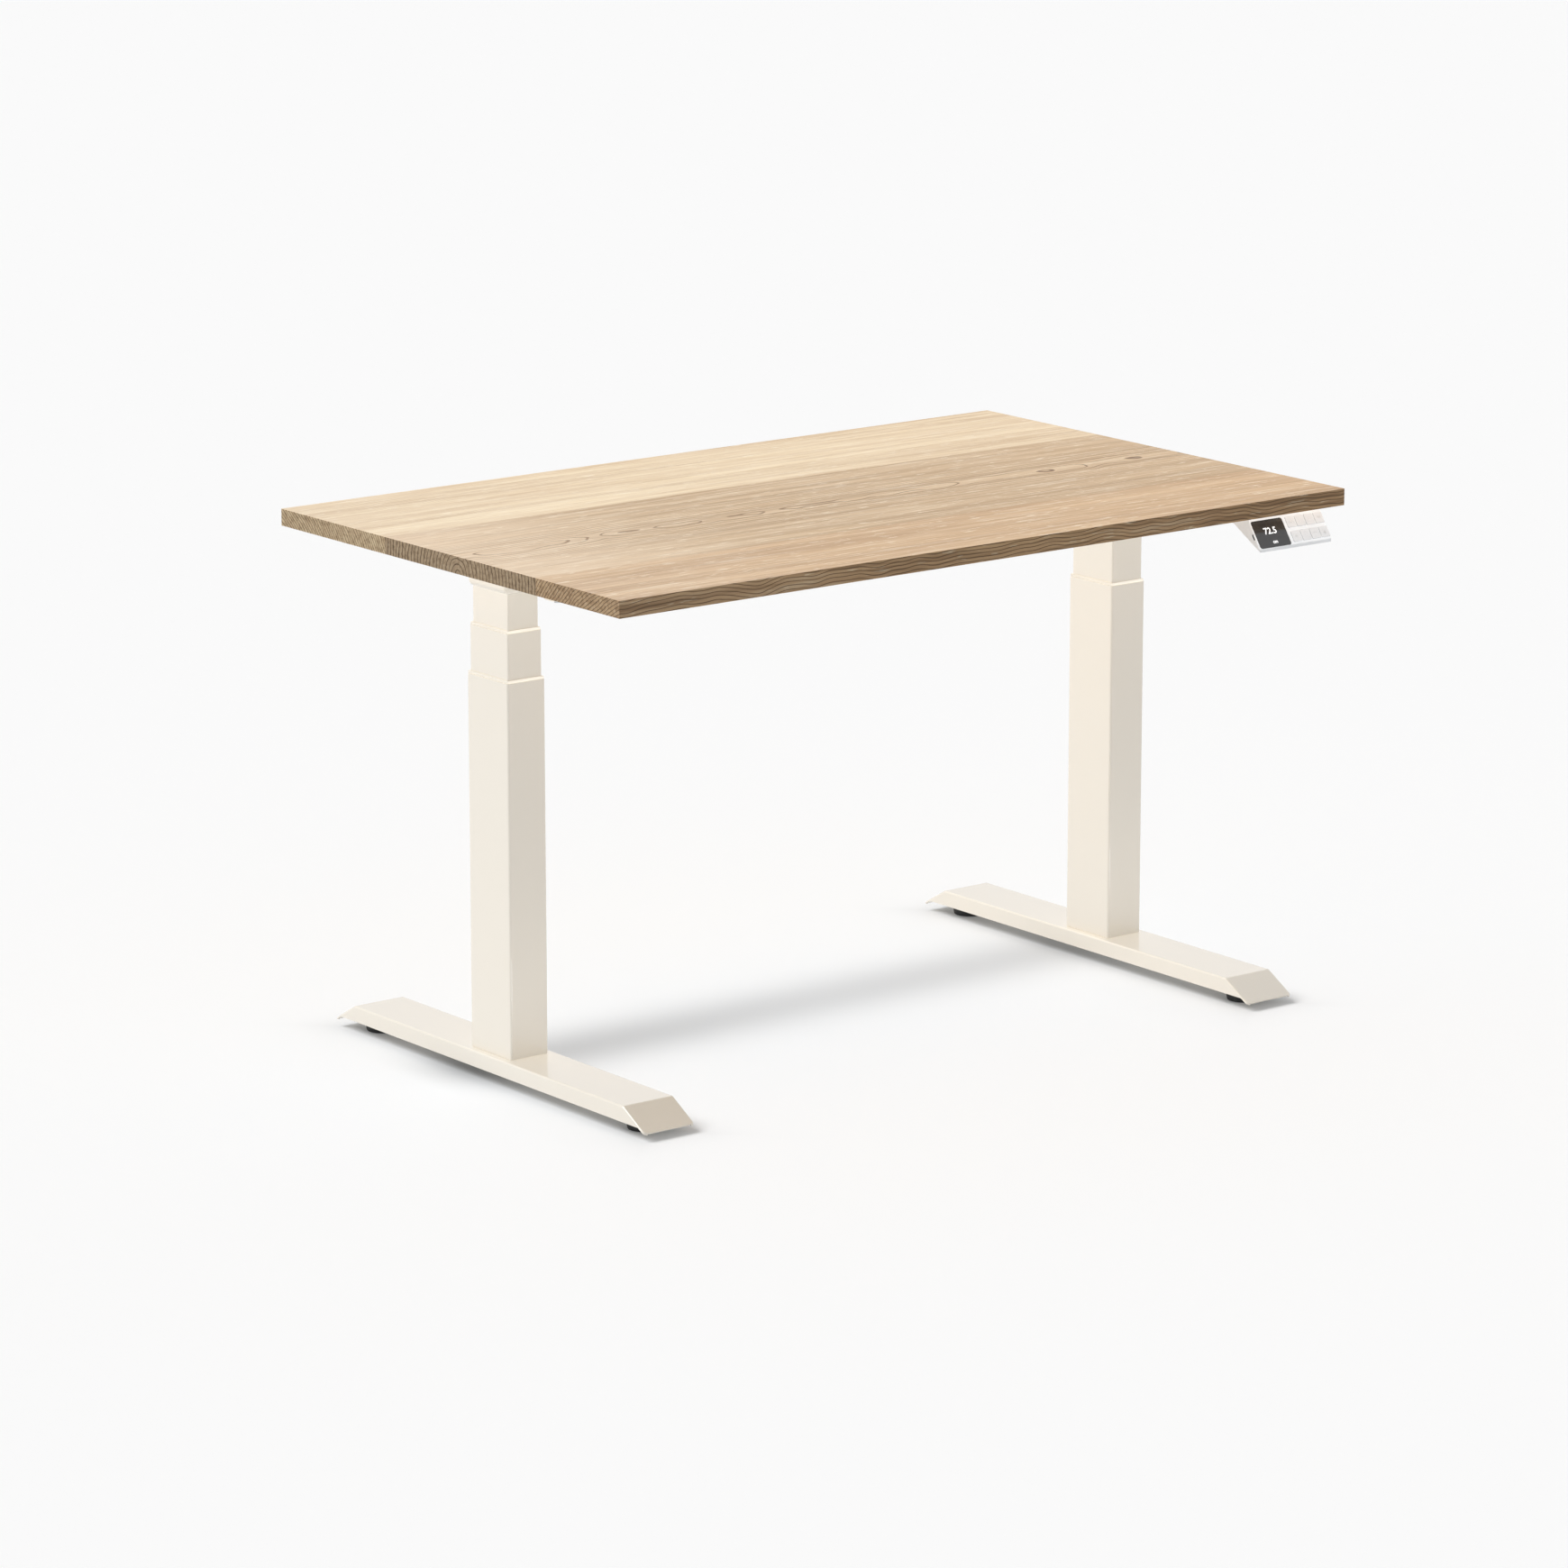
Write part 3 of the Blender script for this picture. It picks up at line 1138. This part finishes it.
face_run = HANDSET["face_length"]
foot_y = HANDSET["face_top_y"] - face_run * math.cos(tilt)
foot_z = HANDSET["face_top_z"] - face_run * math.sin(tilt)
outline = [
    (HANDSET["face_top_y"], case_high.z), (HANDSET["face_top_y"], HANDSET["face_top_z"]),
    (foot_y, foot_z), (foot_y, foot_z - HANDSET["lip"]), HANDSET["knee"],
    (case_high.y, HANDSET["back_z"]), (case_high.y, case_high.z)]
wedge = side_prism(outline, case_low.x, case_high.x)


def on_face_end(edge):
    """The left and right edges of the sloping face and of the lip under it."""
    across = abs(edge.verts[0].co.x - edge.verts[1].co.x)
    return across < 0.1 and max(v.co.y for v in edge.verts) < HANDSET["face_top_y"] + 0.1 and (
        max(v.co.z for v in edge.verts) < HANDSET["face_top_z"] + 0.1)


round_edges(wedge, HANDSET["corner"], segments=6, over=10, where=on_face_end)
round_edges(wedge, HANDSET["ease"], segments=3, over=20,
            where=lambda edge: max(v.co.z for v in edge.verts) < case_high.z - 1)
pockets = [plate(KEY_LEFT + column * KEY_PITCH - 0.3, KEY_ROWS[row] - 0.3, KEY_WIDTH + 0.6,
                 KEY_HEIGHT + 0.6, 1.3, -KEY_POCKET, 1) for column, row in KEY_PLACES.values()]
pockets.append(plate(SCREEN["left"] - 0.3, SCREEN["top"] - 0.3, SCREEN["width"] + 0.6,
                     SCREEN["height"] + 0.6, SCREEN["radius"] + 0.3, -SCREEN["thick"], 1))
pockets.append(block(-1, USB["depth"], -USB["slope"] - USB["length"] / 2,
                     -USB["slope"] + USB["length"] / 2, -USB["behind"] - USB["thickness"] / 2,
                     -USB["behind"] + USB["thickness"] / 2))
case_white = moulded_plastic("case_white", (0.84, 0.855, 0.87), 0.38, grain=1500)
handset = piece("handset_wedge", carved(wedge, *[moved(pocket, face_frame) for pocket in pockets]),
                case_white, "top", "case_white", "handset_case")
light_group(handset, "handset")

port_shell = block(0.4, USB["depth"] - 0.3, -USB["slope"] - USB["length"] / 2 + 0.15,
                   -USB["slope"] + USB["length"] / 2 - 0.15,
                   -USB["behind"] - USB["thickness"] / 2 + 0.15,
                   -USB["behind"] + USB["thickness"] / 2 - 0.15)
port_mouth = block(-1, USB["depth"] - 1, -USB["slope"] - USB["length"] / 2 + 0.5,
                   -USB["slope"] + USB["length"] / 2 - 0.5,
                   -USB["behind"] - USB["thickness"] / 2 + 0.5,
                   -USB["behind"] + USB["thickness"] / 2 - 0.5)
piece("usb_port_shell", moved(carved(port_shell, port_mouth), face_frame), bare_steel, "top",
      "bare_steel")
port_tongue = block(1.2, USB["depth"] - 1, -USB["slope"] - 3.4, -USB["slope"] + 3.4,
                    -USB["behind"] - 0.75, -USB["behind"] - 0.15)
piece("usb_port_tongue", moved(port_tongue, face_frame), black_plastic, "top", "box_plastic")


def dark_glass():
    glass = Shader("display_glass")
    smear = glass.noise((60, 60, 60), detail=3)
    return glass.surface(
        Base_Color=glass.mix(smear, (0.040, 0.040, 0.041), (0.046, 0.046, 0.048)),
        Roughness=0.10 + 0.08 * smear, Coat_Weight=0.5)


def soft_light(name, color, strength, shine=0.5):
    """Printed or lit marks. strength is how much they glow."""
    lit = Shader(name)
    cloud = lit.noise((300, 300, 300), detail=1)
    warmer = tuple(channel * 0.94 for channel in color)
    tone = lit.mix(cloud, warmer, color)
    return lit.surface(Base_Color=tone, Roughness=shine, Emission_Color=tone,
                       Emission_Strength=strength)


screen = plate(SCREEN["left"], SCREEN["top"], SCREEN["width"], SCREEN["height"], SCREEN["radius"],
               SCREEN["proud"] - SCREEN["thick"], SCREEN["proud"], ease=0.3)
piece("display_window", moved(screen, face_frame), dark_glass(), "top", "display_glass",
      "handset_display")


def lettering(text, height, x, y, z, weight=0.0):
    """Flat letters in the face, centred on (x, y). weight thickens their strokes."""
    curve = bpy.data.curves.new("letters", "FONT")
    curve.body = text
    curve.size = height
    curve.align_x = "CENTER"
    curve.align_y = "CENTER"
    curve.extrude = MARK_THICK / 2
    curve.offset = weight
    curve.resolution_u = 3
    obj = bpy.data.objects.new("letters", curve)
    scene.collection.objects.link(obj)
    graph = bpy.context.evaluated_depsgraph_get()
    mesh = bpy.data.meshes.new_from_object(obj.evaluated_get(graph))
    bpy.data.objects.remove(obj)
    bm = bmesh.new()
    bm.from_mesh(mesh)
    bpy.data.meshes.remove(mesh)
    bmesh.ops.remove_doubles(bm, verts=bm.verts, dist=1e-4)
    return moved(bm, Matrix.Translation((x, y, z)))


def flat_shape(outline, z):
    """A thin raised mark from its outline."""
    return rings_to_mesh([[(x, y, z + dz) for x, y in outline]
                          for dz in (-MARK_THICK / 2, MARK_THICK / 2)])


screen_x = SCREEN["left"] + SCREEN["width"] / 2
screen_y = -SCREEN["top"] - SCREEN["height"] / 2
digits = join(
    lettering("72.5", 13.0, screen_x, screen_y + 3.4, SCREEN["proud"] + MARK_THICK / 2, weight=0.22),
    lettering("cm", 7.0, screen_x + 1.5, screen_y - 12.6, SCREEN["proud"] + MARK_THICK / 2, weight=0.16))
piece("display_digits", moved(digits, face_frame), soft_light("digit_light", (0.93, 0.93, 0.93), 0.9),
      "top", "display_glass")


def arrow(x, y, z, way):
    """A chevron that points up or down the face."""
    points = [(-3.0, -1.6), (0, 1.4), (3.0, -1.6), (3.0, -0.2), (0, 2.8), (-3.0, -0.2)]
    return flat_shape([(x + px, y + way * (py - 0.6)) for px, py in points][::int(way)], z)


def padlock(x, y, z):
    body = [(-2.2, -2.8), (2.2, -2.8), (2.2, 0.4), (-2.2, 0.4)]
    outer = [(1.6 * math.cos(math.radians(a)), 0.4 + 2.2 * math.sin(math.radians(a)))
             for a in range(0, 181, 20)]
    inner = [(0.95 * math.cos(math.radians(a)), 0.4 + 1.5 * math.sin(math.radians(a)))
             for a in range(180, -1, -20)]
    return join(flat_shape([(x + px, y + py) for px, py in body], z),
                flat_shape([(x + px, y + py) for px, py in outer + inner], z))


key_plastic = moulded_plastic("key_plastic", (0.72, 0.72, 0.725), 0.5, grain=1500)
key_print = soft_light("key_print", (0.97, 0.97, 0.97), 0.05)
KEY_TEXT = {"key_preset_1": "1", "key_preset_2": "2", "key_memory": "M", "key_preset_3": "3",
            "key_preset_4": "4"}
for node, (column, row) in KEY_PLACES.items():
    left = KEY_LEFT + column * KEY_PITCH
    cap = plate(left, KEY_ROWS[row], KEY_WIDTH, KEY_HEIGHT, 1.2, KEY_PROUD - KEY_THICK, KEY_PROUD,
                ease=0.35)
    name = node.replace("key_", "")
    keycap = piece(f"keycap_{name}", moved(cap, face_frame), key_plastic, node, "key_plastic", node)
    light_group(keycap, "handset")
    x = left + KEY_WIDTH / 2
    y = -KEY_ROWS[row] - KEY_HEIGHT / 2
    z = KEY_PROUD + MARK_THICK / 2 + 0.01
    if node in KEY_TEXT:
        mark = lettering(KEY_TEXT[node], 6.5, x, y, z)
    elif node == "key_lock":
        mark = padlock(x, y, z)
    else:
        mark = arrow(x, y, z, 1 if node == "key_up" else -1)
    piece(f"keymark_{name}", moved(mark, face_frame), key_print, node, "key_plastic")

# ---- screws --------------------------------------------------------------------------------------
# Zinc plated socket screws hold the brackets, the rails, the control box, the handset and the base
# plates. Every one is driven from below, so its head faces the floor.

SEAT_FEET = 35.7                    # under the feet's sheet
SCREW_SIZES = {"large": (5.4, 3.4, 2.6, 6.6), "small": (3.2, 2.0, 1.5, 3.9)}

screw_steps = Steps("socket_screws", Radius="Float", Height="Float", Socket="Float", Washer="Float")
given = screw_steps.given.outputs
below = screw_steps.node("ShaderNodeMath", {"operation": "MULTIPLY"}, {0: given["Height"], 1: -1.0})
lower = screw_steps.node("ShaderNodeCombineXYZ", {}, {2: below})
narrow = screw_steps.node("ShaderNodeMath", {"operation": "MULTIPLY"}, {0: given["Radius"], 1: 0.88})
dome = screw_steps.node("GeometryNodeMeshCone", {}, {
    "Vertices": 28, "Radius Top": given["Radius"], "Radius Bottom": narrow,
    "Depth": given["Height"]})
head_shape = screw_steps.node("GeometryNodeTransform", {}, {0: dome, "Translation": lower})
recess = screw_steps.node("GeometryNodeMeshCylinder", {}, {
    "Vertices": 6, "Radius": given["Socket"], "Depth": given["Height"]})
recess_low = screw_steps.node("GeometryNodeTransform", {}, {0: recess, "Translation": lower})
cut_head = screw_steps.node("GeometryNodeMeshBoolean", {"operation": "DIFFERENCE"},
                            {0: head_shape, 1: recess_low})
washer = screw_steps.node("GeometryNodeMeshCylinder", {}, {
    "Vertices": 28, "Radius": given["Washer"], "Depth": 0.0012})
whole = screw_steps.node("GeometryNodeJoinGeometry", {}, {0: cut_head})
screw_steps.tree.links.new(washer, screw_steps.tree.nodes[-1].inputs[0])
spread = screw_steps.node("GeometryNodeInstanceOnPoints", {},
                          {0: given["Geometry"], "Instance": whole})
screw_steps.end(spread, zinc, smooth_under=30)


def screws(name, size, places, body):
    """Sets one size of screw at places in millimetres, each where the head meets what it holds."""
    radius, height, socket, washer_radius = (value / 1000 for value in SCREW_SIZES[size])
    points = [(x / 1000, y / 1000, z / 1000) for x, y, z in places]
    run = screw_steps.run(points, Radius=radius, Height=height, Socket=socket, Washer=washer_radius)
    baked(run, name, body, "zinc_steel")


top_places, base_places, small_places = [], [], []
for side, sign in SIDES:
    low, high = span(f"top_bracket_{side}")
    middle_x = (low.x + high.x) / 2
    top_places += [(middle_x + x, y, high.z - 3.4) for x in (-24, 24) for y in (-262, -150, 150, 262)]
    top_places += [(sign * 468, y * rail_y, rail_low.z - 0.4) for y in (-1, 1)]
    base_places += [(middle_x + x, y, SEAT_FEET - 0.4) for x in (-19, 19) for y in (-33, 33)]
    small_places += [(sign * 119, y, box_low.z - 0.4) for y in (103, 181)]
top_places += [(x, y * rail_y, rail_low.z - 0.4) for x in (100, 132) for y in (-1, 1)]
small_places += [(x, handset_back - 13, 669.4) for x in (handset_low.x + 16, handset_high.x - 16)]
screws("bracket_screws", "large", top_places, "top")
screws("box_screws", "small", small_places, "top")
screws("foot_screws", "large", base_places, "base")

# ---- clips and ties ------------------------------------------------------------------------------
# Black nylon bands hold the leads: clips on pads stuck under the top, and ties round the rails
# where a lead passes under them.

band_steps = Steps("bands", Width="Float", Height="Float", Fillet="Float", Band="Float",
                   Pad_Size="Vector", Pad_Place="Vector")
given = band_steps.given.outputs
loop = band_steps.node("GeometryNodeCurvePrimitiveQuadrilateral", {},
                       {"Width": given["Width"], "Height": given["Height"]})
eased = band_steps.node("GeometryNodeFilletCurve", {"mode": "POLY"},
                        {0: loop, "Count": 5, "Radius": given["Fillet"]})
section = band_steps.node("GeometryNodeCurvePrimitiveQuadrilateral", {},
                          {"Width": 0.001, "Height": given["Band"]})
band_mesh = band_steps.node("GeometryNodeCurveToMesh", {}, {0: eased, "Profile Curve": section})
standing = band_steps.node("GeometryNodeTransform", {}, {
    0: band_mesh, "Rotation": (math.radians(90), 0, math.radians(90))})
pad = band_steps.node("GeometryNodeMeshCube", {}, {"Size": given["Pad_Size"]})
pad_placed = band_steps.node("GeometryNodeTransform", {}, {0: pad, "Translation": given["Pad_Place"]})
whole_band = band_steps.node("GeometryNodeJoinGeometry", {}, {0: standing})
band_steps.tree.links.new(pad_placed, band_steps.tree.nodes[-1].inputs[0])
turn = band_steps.node("GeometryNodeInputNamedAttribute", {"data_type": "FLOAT"}, {"Name": "turn"})
turned_by = band_steps.node("ShaderNodeCombineXYZ", {}, {2: turn})
set_out = band_steps.node("GeometryNodeInstanceOnPoints", {}, {
    0: given["Geometry"], "Instance": whole_band, "Rotation": turned_by})
band_steps.end(set_out, black_plastic)


def bands(name, places, **sizes):
    """Sets bands at (x, y, z, turn) places, in millimetres and degrees."""
    run = band_steps.run([(x / 1000, y / 1000, z / 1000) for x, y, z, angle in places], **sizes)
    marks = run.data.attributes.new("turn", "FLOAT", "POINT")
    marks.data.foreach_set("value", [math.radians(angle) for x, y, z, angle in places])
    baked(run, name, "top", "lead_sheath")


underside = span("desktop")[0].z
clip_z = (underside - 0.2 + 676.4) / 2
bands("lead_clips", [(453, -258, clip_z, 110), (439, -205, clip_z, 104)],
      Width=0.0090, Height=(underside - 0.2 - 676.4) / 1000, Fillet=0.0028, Band=0.0055,
      Pad_Size=(0.011, 0.019, 0.0012), Pad_Place=(0, 0, (underside - 0.9 - clip_z) / 1000))
tie_top = rail_high.z + 1.2
tie_bottom = under_rail - 3.4
tie_z = (tie_top + tie_bottom) / 2
tie_places = [(motor_end - 56, rail_y, tie_z, 0), (-motor_end + 56, rail_y, tie_z, 0),
              (352, -rail_y, tie_z, 0), (262, rail_y, tie_z, 0)]
bands("rail_ties", tie_places, Width=(rail_high.y - rail_low.y + 2) / 1000,
      Height=(tie_top - tie_bottom) / 1000, Fillet=0.003, Band=0.0036,
      Pad_Size=(0.0052, 0.0034, 0.0056),
      Pad_Place=(0, (rail_high.y - rail_low.y) / 2000 + 0.0022, -0.006))
